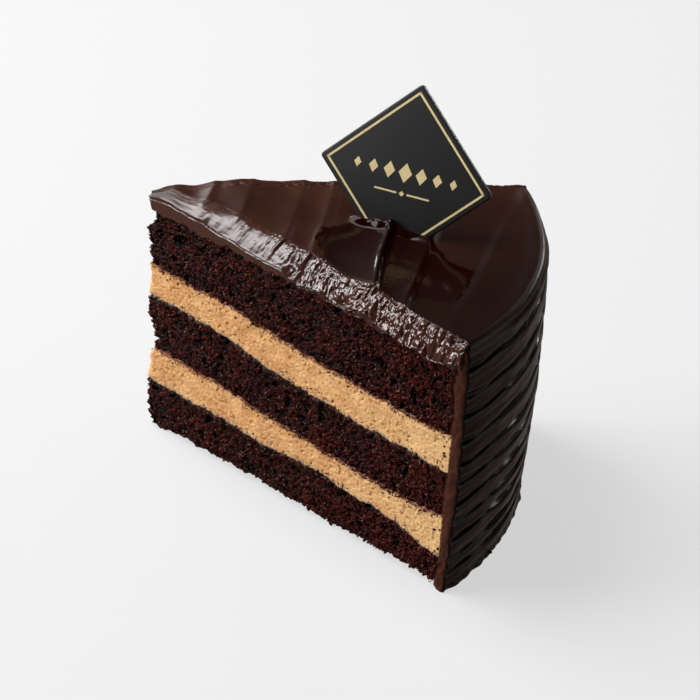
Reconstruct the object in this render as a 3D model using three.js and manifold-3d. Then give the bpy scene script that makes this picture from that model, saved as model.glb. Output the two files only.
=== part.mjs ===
// A slice of a round chocolate layer cake, cut with a knife and set down on its base: three
// sponges, two creams, one coat of chocolate over the top and the round side, and a thin square
// plaque standing on its corner in the top. Millimetres, +Z up. The slice points along -X, its
// round side faces +X, and the origin is the middle of the base.
import * as THREE from 'three';
import { mergeVertices } from 'three/addons/utils/BufferGeometryUtils.js';
import Module from 'manifold-3d';

const wasm = await Module();
wasm.setup();

const rad = THREE.MathUtils.degToRad;

// Driving dimensions of the whole cake. Its axis is the Z axis until the slice is centred.
const CAKE_RADIUS = 100;
const CAKE_HEIGHT = 76.5;
const COAT_SIDE = 3.6;
const GAP = 0.3;
const CORE_RADIUS = CAKE_RADIUS - COAT_SIDE - GAP;
const TURN_STEPS = 72;
const REACH = 2 * CAKE_RADIUS;

// The cut: two flat faces that meet at the tip, a little past the middle of the cake.
const TIP = new THREE.Vector2(-10, 7.4);
const HALF_ANGLE = rad(25.7);
const SPONGE_CUT_BACK = 0.4;

// Height of the top of each layer, at even steps from the middle of the cake to its rim.
const LAYER_TOPS = {
  sponge_bottom: [15.5, 15.6, 15.1, 15.6, 14.9, 13.6, 10.3],
  cream_lower: [26, 25.6, 24.2, 23.4, 22.6, 21.6, 22.6],
  sponge_middle: [43, 42.2, 40, 38.2, 37.6, 37.1, 36.6],
  cream_upper: [52, 52, 50.4, 49, 48.4, 47.2, 47.6],
  sponge_top: [69.8, 69.7, 69.4, 68.6, 69, 68, 68.4],
};
const RADIAL_STEPS = 9;

// Comb marks round the side: the groove heights, their depth, and the belly of the wall.
const GROOVES = [5.5, 10, 16, 21.5, 27.5, 34, 40, 47, 55, 61, 69];
const GROOVE_DEPTH = 1.1;
const GROOVE_HALF_WIDTH = 1;
const BAND_CROWN = 0.25;
const BELLY = 1.2;
const RIM_FILLET = 2.2;
const FILLET_STEPS = 3;

// Spatula ridges across the top: where each crest lies across the ridges, and its section.
const CRESTS = [-4, 7.6, 17.6, 31.6, 39.1, 57.1, 68.6, 81.6, 93.6];
const RIDGE_HEIGHT = 0.9;
const RIDGE_DROP_WIDTH = 1.4;
const FIRST_RIDGE_WIDTH = 12;
const RIDGE_TURN = Math.atan(0.15);

// Edge of the near cut where the knife dragged the coat down, as a sloping plane.
const SHOULDER = { from: 8, to: 96, inward: 7.2, down: 5 };

// The plaque, its lean and turn, and the bead of coat that it pushed up at its foot.
const PLAQUE_SIDE = 35.9;
const PLAQUE_THICKNESS = 1.8;
const PLAQUE_BEVEL = 0.35;
const PLAQUE_CORNER = 0.8;
const PLAQUE_LEAN = rad(15.7);
const PLAQUE_TURN = rad(-7);
const PLAQUE_CENTRE = new THREE.Vector3(56.9, 18.2, 90.2);
const BEAD = { length: 25, width: 5.4, height: 5, x: 54.9, y: 14.4, turn: rad(-11.8) };

const COLOURS = {
  sponge: { color: '#2a1613', roughness: 0.95, metalness: 0 },
  cream: { color: '#cf9a6a', roughness: 0.8, metalness: 0 },
  ganache: { color: '#38231d', roughness: 0.3, metalness: 0 },
  plaque: { color: '#2a2a2b', roughness: 0.4, metalness: 0 },
};

// A closed three.js geometry as a manifold solid, without the slivers at a lathe's axis.
function toSolid(geometry) {
  geometry.deleteAttribute('normal');
  geometry.deleteAttribute('uv');
  const welded = mergeVertices(geometry, 1e-4);
  const index = welded.index.array;
  const triVerts = [];
  for (let i = 0; i < index.length; i += 3) {
    const [a, b, c] = [index[i], index[i + 1], index[i + 2]];
    if (a !== b && b !== c && c !== a) triVerts.push(a, b, c);
  }
  return new wasm.Manifold(new wasm.Mesh({
    numProp: 3,
    vertProperties: new Float32Array(welded.attributes.position.array),
    triVerts: new Uint32Array(triVerts),
  }));
}

function toGeometry(solid) {
  const { vertProperties, triVerts } = solid.getMesh();
  const geometry = new THREE.BufferGeometry();
  geometry.setAttribute('position', new THREE.BufferAttribute(vertProperties, 3));
  geometry.setIndex(new THREE.BufferAttribute(triVerts, 1));
  return geometry;
}

// A round solid about the Z axis from its outline, which starts and ends on that axis.
function turned(outline) {
  const geometry = new THREE.LatheGeometry(outline, TURN_STEPS);
  geometry.rotateX(Math.PI / 2);
  return toSolid(geometry);
}

// The upright prism between the two cuts, with both cuts moved in by `back`.
function wedge(back = 0) {
  const tipX = TIP.x + back / Math.sin(HALF_ANGLE);
  const spread = REACH * Math.tan(HALF_ANGLE);
  const outline = new THREE.Shape([
    new THREE.Vector2(tipX, TIP.y),
    new THREE.Vector2(tipX + REACH, TIP.y - spread),
    new THREE.Vector2(tipX + REACH, TIP.y + spread),
  ]);
  const geometry = new THREE.ExtrudeGeometry(outline, { depth: 2 * CAKE_HEIGHT, bevelEnabled: false });
  geometry.translate(0, 0, -CAKE_HEIGHT / 2);
  return toSolid(geometry);
}

// Points on a smooth curve through a layer's heights, from the middle out to `radius`.
function layerCurve(heights, radius, lift) {
  const step = radius / (heights.length - 1);
  const knots = heights.map((z, i) => new THREE.Vector2(i * step, z + lift));
  return new THREE.SplineCurve(knots).getPoints(RADIAL_STEPS);
}

// One layer of the core between the layer below and its own top.
function layer(name, below, back) {
  const base = below
    ? layerCurve(LAYER_TOPS[below], CORE_RADIUS, GAP / 2)
    : [new THREE.Vector2(0, 0), new THREE.Vector2(CORE_RADIUS, 0)];
  const top = layerCurve(LAYER_TOPS[name], CORE_RADIUS, -GAP / 2).reverse();
  return turned([...base, ...top]).intersect(wedge(back));
}

function bellyAt(z) {
  return BELLY * Math.sin(Math.PI * z / CAKE_HEIGHT);
}

// The coat's outer wall from the base to the rim: crowned bands between comb grooves.
function combedWall() {
  const wall = [new THREE.Vector2(CAKE_RADIUS, 0)];
  const edges = [0, ...GROOVES, CAKE_HEIGHT - RIM_FILLET];
  for (let i = 1; i < edges.length; i++) {
    const middle = (edges[i - 1] + edges[i]) / 2;
    wall.push(new THREE.Vector2(CAKE_RADIUS + bellyAt(middle) + BAND_CROWN, middle));
    if (i === edges.length - 1) break;
    for (const side of [-1, 0, 1]) {
      const z = edges[i] + side * GROOVE_HALF_WIDTH;
      const depth = side === 0 ? GROOVE_DEPTH : 0;
      wall.push(new THREE.Vector2(CAKE_RADIUS + bellyAt(z) - depth, z));
    }
  }
  return wall;
}

function roundRim() {
  const rim = [];
  for (let i = 0; i <= FILLET_STEPS; i++) {
    const angle = i / FILLET_STEPS * Math.PI / 2;
    rim.push(new THREE.Vector2(
      CAKE_RADIUS - RIM_FILLET * (1 - Math.cos(angle)),
      CAKE_HEIGHT - RIM_FILLET * (1 - Math.sin(angle)),
    ));
  }
  return rim;
}

// Everything below the ridged top: each ridge rises gently to its crest, then drops away.
function ridgedTop() {
  const valley = CAKE_HEIGHT - RIDGE_HEIGHT;
  const section = [new THREE.Vector2(-REACH, -1), new THREE.Vector2(-REACH, valley - RIDGE_HEIGHT)];
  let foot = CRESTS[0] - FIRST_RIDGE_WIDTH;
  for (const crest of CRESTS) {
    section.push(new THREE.Vector2(foot + 0.6 * (crest - foot), valley + 0.1 * RIDGE_HEIGHT));
    section.push(new THREE.Vector2(crest, CAKE_HEIGHT));
    foot = crest + RIDGE_DROP_WIDTH;
    section.push(new THREE.Vector2(foot, valley));
  }
  section.push(new THREE.Vector2(REACH, valley), new THREE.Vector2(REACH, -1));
  const geometry = new THREE.ExtrudeGeometry(new THREE.Shape(section), {
    depth: REACH,
    bevelEnabled: false,
  });
  geometry.translate(0, 0, -REACH / 2);
  geometry.rotateX(Math.PI / 2);
  geometry.rotateZ(RIDGE_TURN);
  return toSolid(geometry);
}

// Everything above the sloping plane that the knife left along the top of the near cut.
function shoulderCut() {
  const along = new THREE.Vector3(Math.cos(HALF_ANGLE), -Math.sin(HALF_ANGLE), 0);
  const inward = new THREE.Vector3(Math.sin(HALF_ANGLE), Math.cos(HALF_ANGLE), 0);
  const tip = new THREE.Vector3(TIP.x, TIP.y, CAKE_HEIGHT);
  const low = tip.clone().addScaledVector(along, SHOULDER.from).setZ(CAKE_HEIGHT - SHOULDER.down);
  const end = tip.clone().addScaledVector(along, SHOULDER.to);
  const high = tip.clone().addScaledVector(along, SHOULDER.from).addScaledVector(inward, SHOULDER.inward);
  const edge = end.clone().sub(low).normalize();
  const up = edge.clone().cross(high.clone().sub(low)).normalize();
  const across = up.clone().cross(edge);
  const geometry = new THREE.BoxGeometry(REACH, REACH / 2, CAKE_HEIGHT);
  geometry.translate(0, 0, CAKE_HEIGHT / 2);
  geometry.applyMatrix4(new THREE.Matrix4().makeBasis(edge, across, up));
  geometry.translate(low.x, low.y, low.z);
  return toSolid(geometry);
}

// A square tile standing on its corner, facing +Z, grown all round by `grow`.
function tile(grow, bevel) {
  const half = PLAQUE_SIDE / 2 + grow - bevel;
  const corner = PLAQUE_CORNER;
  const outline = new THREE.Shape();
  for (let i = 0; i < 4; i++) {
    const turn = i * Math.PI / 2;
    const place = (x, y) => new THREE.Vector2(x, y).rotateAround(new THREE.Vector2(), turn + Math.PI / 4);
    const [start, end] = [place(half, half - corner), place(half - corner, half)];
    if (i === 0) outline.moveTo(start.x, start.y);
    else outline.lineTo(start.x, start.y);
    outline.lineTo(end.x, end.y);
  }
  const depth = PLAQUE_THICKNESS + 2 * grow - 2 * bevel;
  const geometry = new THREE.ExtrudeGeometry(outline, {
    depth,
    bevelEnabled: bevel > 0,
    bevelThickness: bevel,
    bevelSize: bevel,
    bevelSegments: 1,
  });
  geometry.translate(0, 0, -depth / 2);
  return geometry;
}

function leanPlaque(object) {
  object.rotation.set(Math.PI / 2 - PLAQUE_LEAN, 0, PLAQUE_TURN, 'ZYX');
  object.position.copy(PLAQUE_CENTRE);
  object.updateMatrix();
  return object;
}

function plaqueSlot() {
  const place = leanPlaque(new THREE.Object3D());
  return toSolid(tile(GAP, 0).applyMatrix4(place.matrix));
}

// The smooth bead that the plaque pushed up in front of itself.
function footBead() {
  const geometry = new THREE.SphereGeometry(0.5, 16, 10);
  geometry.scale(BEAD.length, BEAD.width, BEAD.height);
  geometry.rotateZ(BEAD.turn);
  geometry.translate(BEAD.x, BEAD.y, CAKE_HEIGHT - RIDGE_HEIGHT);
  return toSolid(geometry);
}

function coat(slot) {
  const outer = turned([new THREE.Vector2(0, 0), ...combedWall(), ...roundRim(),
    new THREE.Vector2(0, CAKE_HEIGHT)]);
  const underside = layerCurve(LAYER_TOPS.sponge_top, CORE_RADIUS + GAP, GAP / 2).reverse();
  const core = turned([new THREE.Vector2(0, -GAP), new THREE.Vector2(CORE_RADIUS + GAP, -GAP),
    ...underside]);
  return outer.intersect(ridgedTop()).add(footBead()).intersect(wedge())
    .subtract(shoulderCut()).subtract(core).subtract(slot);
}

function named(name, geometry, finish) {
  geometry.computeVertexNormals();
  const mesh = new THREE.Mesh(geometry, new THREE.MeshStandardMaterial(COLOURS[finish]));
  mesh.name = name;
  return mesh;
}

const slot = plaqueSlot();
const slice = new THREE.Group();
slice.add(
  named('sponge_bottom', toGeometry(layer('sponge_bottom', null, SPONGE_CUT_BACK)), 'sponge'),
  named('cream_lower', toGeometry(layer('cream_lower', 'sponge_bottom', 0)), 'cream'),
  named('sponge_middle', toGeometry(layer('sponge_middle', 'cream_lower', SPONGE_CUT_BACK)), 'sponge'),
  named('cream_upper', toGeometry(layer('cream_upper', 'sponge_middle', 0)), 'cream'),
  named('sponge_top', toGeometry(layer('sponge_top', 'cream_upper', SPONGE_CUT_BACK).subtract(slot)), 'sponge'),
  named('ganache_coat', toGeometry(coat(slot)), 'ganache'),
  leanPlaque(named('plaque', tile(0, PLAQUE_BEVEL), 'plaque')),
);

// Centre the slice over its base.
const middle = new THREE.Box3().setFromObject(slice, true).getCenter(new THREE.Vector3());
slice.position.set(-middle.x, -middle.y, 0);

const group = new THREE.Group();
group.add(slice);

export default group;
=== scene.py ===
"""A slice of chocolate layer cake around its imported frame: open crumb, whipped coffee cream, a
combed coat of ganache with a wet patch, and a thin plaque. Shapes are worked out in millimetres
from the tip of the slice, with +X along its middle, and are set down in metres."""

import math
import random

import bmesh
import bpy
from mathutils import Matrix, Vector, noise


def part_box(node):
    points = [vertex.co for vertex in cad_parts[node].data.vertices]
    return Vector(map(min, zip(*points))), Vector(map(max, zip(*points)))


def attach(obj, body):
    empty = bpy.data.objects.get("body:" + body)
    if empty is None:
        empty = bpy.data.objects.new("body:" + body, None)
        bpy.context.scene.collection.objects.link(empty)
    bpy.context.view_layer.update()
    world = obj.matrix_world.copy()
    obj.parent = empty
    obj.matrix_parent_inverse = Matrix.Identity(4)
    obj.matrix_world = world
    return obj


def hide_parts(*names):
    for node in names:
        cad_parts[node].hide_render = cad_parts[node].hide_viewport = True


# The vector noise is seeded from the clock unless it is told otherwise.
noise.seed_set(1)

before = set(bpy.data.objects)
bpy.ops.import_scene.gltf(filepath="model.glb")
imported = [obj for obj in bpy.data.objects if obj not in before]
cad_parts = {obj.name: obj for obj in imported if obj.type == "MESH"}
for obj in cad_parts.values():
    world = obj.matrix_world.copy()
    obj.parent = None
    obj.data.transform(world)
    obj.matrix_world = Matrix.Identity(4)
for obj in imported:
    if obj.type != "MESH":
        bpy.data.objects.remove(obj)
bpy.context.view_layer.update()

MM = 0.001
TIP = min((v.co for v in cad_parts["cream_lower"].data.vertices), key=lambda co: co.x)
SET_DOWN = Matrix.Translation((TIP.x, TIP.y, 0)) @ Matrix.Scale(MM, 4)

# The round cake, in the slice's own coordinates.
HALF_ANGLE = math.radians(25.7)
AXIS = Vector((10, -7.4, 0))
CAKE_RADIUS = 100
CORE_RADIUS = 96.2
TOP = 76.5
BELLY = 1.2
NEAR, FAR = -1, 1
EDGE = 1e-4
# Height of each layer's top, at even steps from the cake's axis to its rim.
LAYER_TOPS = {
    "sponge_bottom": (15.5, 15.6, 15.1, 15.6, 14.9, 13.6, 10.3),
    "cream_lower": (26, 25.6, 24.2, 23.4, 22.6, 21.6, 22.6),
    "sponge_middle": (43, 42.2, 40, 38.2, 37.6, 37.1, 36.6),
    "cream_upper": (52, 52, 50.4, 49, 48.4, 47.2, 47.6),
    "sponge_top": (69.8, 69.7, 69.4, 68.6, 69, 68, 68.4),
}
# Each layer from the board up, and what lies below it.
LAYERS = {"sponge_bottom": None, "cream_lower": "sponge_bottom", "sponge_middle": "cream_lower",
          "cream_upper": "sponge_middle", "sponge_top": "cream_upper"}
# How far one layer runs into the next, so that no gap shows between them.
OVERLAP = 0.15
UNDER_TOP_COAT = 0.6
UNDER_CUT_STRIP = 1.6


# ---- Small sums that the shapes share ----

def smoothstep(low, high, value):
    t = min(max((value - low) / (high - low), 0.0), 1.0)
    return t * t * (3 - 2 * t)


def between(knots, x):
    """A value read off straight lines between (x, value) knots."""
    if x <= knots[0][0]:
        return knots[0][1]
    for (x0, y0), (x1, y1) in zip(knots, knots[1:]):
        if x <= x1:
            return y0 + (y1 - y0) * (x - x0) / (x1 - x0)
    return knots[-1][1]


def along_curve(heights, t):
    """A smooth curve through evenly spaced heights, at t from 0 to 1."""
    last = len(heights) - 1
    t = min(max(t, 0.0), 1.0) * last
    i = min(int(t), last - 1)
    f = t - i
    a, b, c, d = (heights[min(max(k, 0), last)] for k in (i - 1, i, i + 1, i + 2))
    return b + 0.5 * f * (c - a + f * (2 * a - 5 * b + 4 * c - d + f * (3 * (b - c) + d - a)))


def grain(x, y, z, size, seed=0):
    """Soft noise from -1 to 1 whose lumps are about `size` across."""
    return noise.noise(Vector((x / size + 7.3 * seed, y / size, z / size)))


def cells(point, size, seed=0):
    """Rounded cells about `size` across: 1 in the middle of a cell, 0 where two meet."""
    first, second = noise.voronoi(point / size + Vector((5.1 * seed, 0, 0)))[0][:2]
    return min(1.0, 2.4 * (second - first))


def reach(angle, radius):
    """How far from the tip a line at this angle meets a circle of that radius round the cake."""
    along = AXIS.x * math.cos(angle) + AXIS.y * math.sin(angle)
    return along + math.sqrt(along * along - AXIS.length_squared + radius * radius)


def cut_direction(side):
    return Vector((math.cos(HALF_ANGLE), side * math.sin(HALF_ANGLE), 0))


def cut_normal(side):
    return Vector((-math.sin(HALF_ANGLE), side * math.cos(HALF_ANGLE), 0))


def from_axis(x, y):
    return math.hypot(x - AXIS.x, y - AXIS.y)


def cut_at(w):
    """Which cut a place w of the way round lies on, or 0 between them."""
    return NEAR if w < EDGE else FAR if w > 1 - EDGE else 0


# How far the ragged tip stands out, by height. The pull dies away along the slice.
TIP_PULL = ((0, 1.8), (3, 3.0), (9, 4.2), (14, 3.6), (18, 2.9), (24, 2.4), (27, 1.0), (30, 1.6),
            (36, 4.4), (41, 5.2), (44, 4.0), (50, 3.8), (54, 4.4), (59, 5.4), (63, 6.4), (66.5, 3.6),
            (69, 3.2), (72, 4.6), (76, 4.4), (80, 4.4))
PULL_REACH = 75


def pull_tip(spot):
    """Leans the tip of the slice outward along the near cut."""
    fade = max(0.0, 1 - math.hypot(spot.x, spot.y) / PULL_REACH) ** 1.6
    pull = between(TIP_PULL, spot.z) + 0.5 * grain(0, 0, spot.z, 2.2, 4)
    return spot - fade * pull * cut_direction(NEAR)


# ---- Pieces ----

def make_piece(bm, name, finish, node=None, smooth=True):
    """Sets a closed shape down in the frame, faces outward, as a piece that rides on the slice."""
    bmesh.ops.recalc_face_normals(bm, faces=bm.faces)
    if bm.calc_volume(signed=True) < 0:
        bmesh.ops.reverse_faces(bm, faces=bm.faces)
    mesh = bpy.data.meshes.new(name)
    bm.to_mesh(mesh)
    bm.free()
    return finish_mesh(mesh, name, finish, node, smooth)


def finish_mesh(mesh, name, finish, node=None, smooth=True):
    mesh.transform(SET_DOWN)
    mesh.materials.append(finish)
    if smooth:
        mesh.shade_smooth()
    piece = bpy.data.objects.new(name, mesh)
    bpy.context.scene.collection.objects.link(piece)
    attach(piece, "root")
    if node:
        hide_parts(node)
    return piece


# The numbers that points carry for the materials to read.
MARKS = ("depth_shade_and_soak", "wet", "smear")


def spun_sheet(columns, rows, steps):
    """A gridded unit sheet spun into a block. Returns the bmesh, each vertex's place in it (u along
    the sheet, w round the spin and v up, each from 0 to 1) and the layers of the marks."""
    start = 0.5
    upright = Matrix.Translation((start + 0.5, 0, 0.5)) @ Matrix.Rotation(math.pi / 2, 4, "X")
    bm = bmesh.new()
    for name in MARKS:
        bm.verts.layers.float.new(name)
    bmesh.ops.create_grid(bm, x_segments=columns, y_segments=rows, size=0.5, matrix=upright)
    bmesh.ops.spin(bm, geom=bm.verts[:] + bm.edges[:] + bm.faces[:], cent=(0, 0, 0), axis=(0, 0, 1),
                   angle=1.0, steps=steps, use_merge=False, use_duplicate=False)
    places = {}
    for vert in bm.verts:
        x, y, z = vert.co
        place = (math.hypot(x, y) - start, math.atan2(y, x), z)
        places[vert] = tuple(min(max(part, 0.0), 1.0) for part in place)
    return bm, places, [bm.verts.layers.float[name] for name in MARKS]


def seam(name, x, y):
    """Height of the top of a layer, with the ragged line that spreading and cutting left."""
    own = len(name) + ord(name[0])
    wander = 0.65 * grain(x, y, own, 6.5) + 0.5 * grain(x, y, own, 2.1) + 0.32 * grain(x, y, own, 1.0)
    return along_curve(LAYER_TOPS[name], from_axis(x, y) / CORE_RADIUS) + wander


# ---- Sponge and cream ----

PITCH = 0.27
INNER_STEPS = 10
TIP_BLUNT = 2.4
SPONGE_PROUD = -0.25
CREAM_PROUD = {"cream_lower": 0.35, "cream_upper": 0.15}
# Large holes in the near cut: how far along it, how high, and half of the width and height.
HOLES = ((13, 64, 1.8, 1.6), (95, 30.5, 1.7, 1.8), (59, 34, 2.4, 0.8), (76, 57, 1.3, 1.2), (28, 34, 1.2, 1.4))


def sponge_relief(point):
    """How far the crumb stands out of the cut: clumps of grains with torn holes between."""
    torn = point + 0.7 * noise.noise_vector(point / 1.6)
    clump = cells(torn, 2.9) - 0.6
    grains = cells(torn, 1.15, 3) - 0.55
    fine = cells(point, 0.62, 5) - 0.5
    hole = smoothstep(0.3, 0.6, grain(*point, 2.8, 2)) + 0.9 * smoothstep(0.25, 0.5, grain(*point, 1.2, 8))
    return 0.3 * grain(*point, 8) + 0.4 * clump + 0.75 * grains + 0.3 * fine - 1.3 * hole


def stated_holes(distance, z):
    """The few large torn holes in the near cut."""
    deep = 0
    for at, height, wide, tall in HOLES:
        far = math.hypot((distance - at) / wide, (z - height) / tall)
        deep += 1.9 * smoothstep(1.25, 0.55, far + 0.3 * grain(distance, 0, z, 1.1, 4))
    return deep


def cream_relief(point):
    """A knife drawn through whipped cream: soft drags with small pits."""
    x, y, z = point
    drag = 0.22 * grain(x, y, 2.4 * z, 7) + 0.12 * grain(x, y, 3 * z, 2.2, 6)
    pit = smoothstep(0.4, 0.6, grain(*point, 1.2, 9)) + 0.6 * smoothstep(0.35, 0.55, grain(*point, 0.75, 4))
    return drag + 0.14 * (cells(point, 0.95, 2) - 0.6) - 0.55 * pit


def layer_heights(name, below, x, y):
    base = seam(below, x, y) - OVERLAP if below else 0.0
    return base, seam(name, x, y) + (UNDER_TOP_COAT if name == "sponge_top" else OVERLAP)


def ragged_foot(x, y):
    """How high the torn lower edge of the bottom sponge stands off the board."""
    return max(0.0, 0.9 + 1.1 * grain(x, y, 0, 5, 3) + grain(x, y, 0, 1.4, 3))


def cut_layer(name, below, proud, relief, finish):
    """One layer between the two cuts. `proud` is how far its cut stands out of the flat cut. On
    sponge, the first mark carries the relief, which the material turns into painted shade down in
    the holes, and smear the dust of cream along its top. On cream they carry the distance from its
    top and from its base."""
    thick = LAYER_TOPS[name][2] - (LAYER_TOPS[below][2] if below else 0)
    long = reach(-HALF_ANGLE, CORE_RADIUS)
    bm, places, (depth_shade_and_soak, _, smear) = spun_sheet(round(long / PITCH), round(thick / PITCH), INNER_STEPS)
    for vert, (u, w, v) in places.items():
        angle = HALF_ANGLE * (2 * w - 1)
        side = cut_at(w)
        radius = CORE_RADIUS + (UNDER_CUT_STRIP if side else 0)
        distance = TIP_BLUNT + u * (reach(angle, radius) - TIP_BLUNT)
        x, y = distance * math.cos(angle), distance * math.sin(angle)
        base, top = layer_heights(name, below, x, y)
        if not below:
            inward = distance * math.sin(HALF_ANGLE - abs(angle))
            base = ragged_foot(x, y) * smoothstep(6, 2, inward)
        z = base + v * (top - base)
        spot = Vector((x, y, z))
        rise = 0.0
        if side or u < EDGE:
            rise = relief(spot)
            if relief is sponge_relief and side == NEAR:
                rise -= stated_holes(distance, z)
            out = cut_normal(side) if side else Vector((-1, 0, 0))
            rounding = 0.0 if side else 0.9 * math.sin(math.pi * w)
            tuck = 1.1 * smoothstep(5, 0, z)
            spot += (rise + proud + rounding - tuck) * out
        vert.co = pull_tip(spot)
        if relief is sponge_relief:
            # The relief, which the sponge's material turns into painted shade near black down in the holes.
            vert[depth_shade_and_soak] = rise
            dust = smoothstep(2.1, 0.1, top - z + 0.9 * grain(x, y, z, 1.6))
            vert[smear] = 0.0 if name == "sponge_top" else dust
        else:
            vert[depth_shade_and_soak] = top - z
            vert[smear] = z - base
    return make_piece(bm, name + "_layer", finish, name)


# ---- Ganache ----

LIPPED_CREST = 66
# Each spatula ridge: where its crest crosses the slice's middle, its height, and its drop's run.
RIDGES = ((4, 0.3, 2.6), (16.5, 0.8, 2.8), (26.5, 0.45, 2.6), (40, 0.55, 2.6), (48, 0.45, 2.6),
          (LIPPED_CREST, 1.4, 1.8), (77, 0.5, 2.6), (91.5, 0.22, 3.4))
RIDGE_SLANT = 0.15
PAST_RIDGES = 0.08
WET_OUTLINE = ((54.6, 4.7), (49.2, -1.9), (48.4, -8), (50, -12.5), (55, -18.5), (61, -23), (67, -25.6),
               (72, -28), (78, -33), (81, -31), (84.6, -27.7), (91.8, -29.5), (93.2, -20), (92.3, -8.9),
               (86, -7), (80, 0), (77, 5), (66, 9))
# Where the knife dragged the coat down: along the cut, how wide and how deep.
SHOULDER_WIDTH = ((0, 1.5), (4, 3.6), (12, 4.8), (18, 6.8), (45, 6.9), (55, 6.0), (66, 4.0), (76, 4.6),
                  (84, 3.8), (92, 2.6), (102, 1.6), (112, 1.0))
SHOULDER_DEPTH = ((0, 0.4), (8, 1.9), (19, 2.5), (30, 3.5), (41, 4.5), (49, 5.3), (56, 6.6), (62, 5.6),
                  (68, 6.8), (80, 5.4), (90, 7.2), (100, 9.5), (106, 7.6), (112, 5.0))
FAR_SHOULDER = (0.36, 0.16)
BEAD = {"x": 65.4, "y": 4.9, "turn": math.radians(-7), "length": 11.8, "width": 1.9, "height": 2.1}


def ridges(x, y):
    """Height of the spatula's ridges: each swells to its crest, then drops away towards +X."""
    across = x + RIDGE_SLANT * (1 - smoothstep(68, 95, x)) * y + 0.8 * grain(x, y, 0, 26, 1)
    foot = -12.0
    for crest, height, run in RIDGES:
        if across < crest:
            t = (across - foot) / (crest - foot)
            return height * (0.12 * (1 - t) + t ** 2.6) - 0.35 * height * math.sin(math.pi * t)
        if across < crest + run:
            return height * (1 - smoothstep(0, run, across - crest) * 0.88)
        foot = crest + run
    return PAST_RIDGES


def crest_lip(x, y):
    """The sharp lip that the spatula left along the crest beside the plaque."""
    across = x + RIDGE_SLANT * y + 0.8 * grain(x, y, 0, 26, 1) - LIPPED_CREST
    return 0.42 * math.exp(-(across / 0.75) ** 2) * smoothstep(-30, -10, y)


def bead(x, y):
    """The roll of melted coat that the plaque pushed up in front of itself."""
    dx, dy = x - BEAD["x"], y - BEAD["y"]
    c, s = math.cos(BEAD["turn"]), math.sin(BEAD["turn"])
    along, across = (c * dx + s * dy) / BEAD["length"], (c * dy - s * dx) / BEAD["width"]
    twist = 1 + 0.16 * smoothstep(0, -0.5, along) * math.sin(14 * along + 2.2 * across)
    lumpy = twist * (0.95 + 0.22 * grain(x, y, 0, 2.8, 2) + 0.12 * grain(x, y, 0, 0.9, 2))
    roll = max(0.0, 1 - along * along) ** 0.5 * max(0.0, 1 - across * across)
    return BEAD["height"] * (1 - 0.45 * smoothstep(-0.1, 0.8, along)) * lumpy * roll


def outline_distance(x, y, outline):
    """How far inside a closed outline a point lies, negative outside."""
    inside, nearest = False, 1e9
    for (x0, y0), (x1, y1) in zip(outline, outline[1:] + outline[:1]):
        if (y0 > y) != (y1 > y) and x < x0 + (y - y0) * (x1 - x0) / (y1 - y0):
            inside = not inside
        ex, ey = x1 - x0, y1 - y0
        t = min(max(((x - x0) * ex + (y - y0) * ey) / (ex * ex + ey * ey), 0.0), 1.0)
        nearest = min(nearest, math.hypot(x - x0 - t * ex, y - y0 - t * ey))
    return nearest if inside else -nearest


def wetness(x, y):
    """1 in the patch of melted coat at the plaque's foot, and 0 outside it."""
    wobble = grain(x, y, 0, 5, 3) + 0.5 * grain(x, y, 0, 1.6, 3)
    return smoothstep(-0.25, 0.35, outline_distance(x, y, WET_OUTLINE) + wobble)


def beside_cut(x, y, side):
    """Distance along a cut, and inward from it."""
    along, out = cut_direction(side), cut_normal(side)
    return x * along.x + y * along.y, -(x * out.x + y * out.y)


def shoulder(side, along):
    """Width and depth of the part of the coat that the knife dragged down. The far one is slight."""
    share = (1, 1) if side == NEAR else FAR_SHOULDER
    return between(SHOULDER_WIDTH, along) * share[0], between(SHOULDER_DEPTH, along) * share[1]


def shoulder_drop(x, y):
    """How far the coat's top is cut away under the dragged strips."""
    drop = 0.0
    for side in (NEAR, FAR):
        along, inward = beside_cut(x, y, side)
        width, depth = shoulder(side, along)
        drop = max(drop, depth * min(max(1 - inward / width, 0.0), 1.0))
    return drop


# How much higher the coat stands along the far cut, where the spatula lifted off.
FAR_LIFT = ((0, -0.3), (6, 0.7), (11, 0.3), (15, 0.5), (18.5, 1.4), (22, 2.8), (30, 2.5), (55, 2.6),
            (80, 2.0), (112, 1.2))


def coat_top(x, y):
    """Height of the coat's top surface, without the shoulders along the cuts."""
    along, inward = beside_cut(x, y, FAR)
    lift = sum(between(FAR_LIFT, along + step) for step in (-2, -1, 0, 1, 2)) / 5
    lift *= smoothstep(24, 1, inward)
    out = from_axis(x, y)
    rim_lip = 0.08 * smoothstep(85, 93.5, out) * smoothstep(97, 93.5, out)
    swell = 0.12 * grain(x, y, 0, 12, 7) - 2.2 * smoothstep(9, 0, x) ** 1.5
    return TOP - 0.9 + swell + lift + rim_lip + ridges(x, y) + crest_lip(x, y) + bead(x, y)


# Steps out from the tip, down, and from the near cut to the far one.
SLAB_GRID = (250, 8, 126)
SLAB_RIM = 99.8
SLAB_FILLET = 2.2
SLAB_OVERHANG = 0.6
SLAB_START = 1.0


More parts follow.
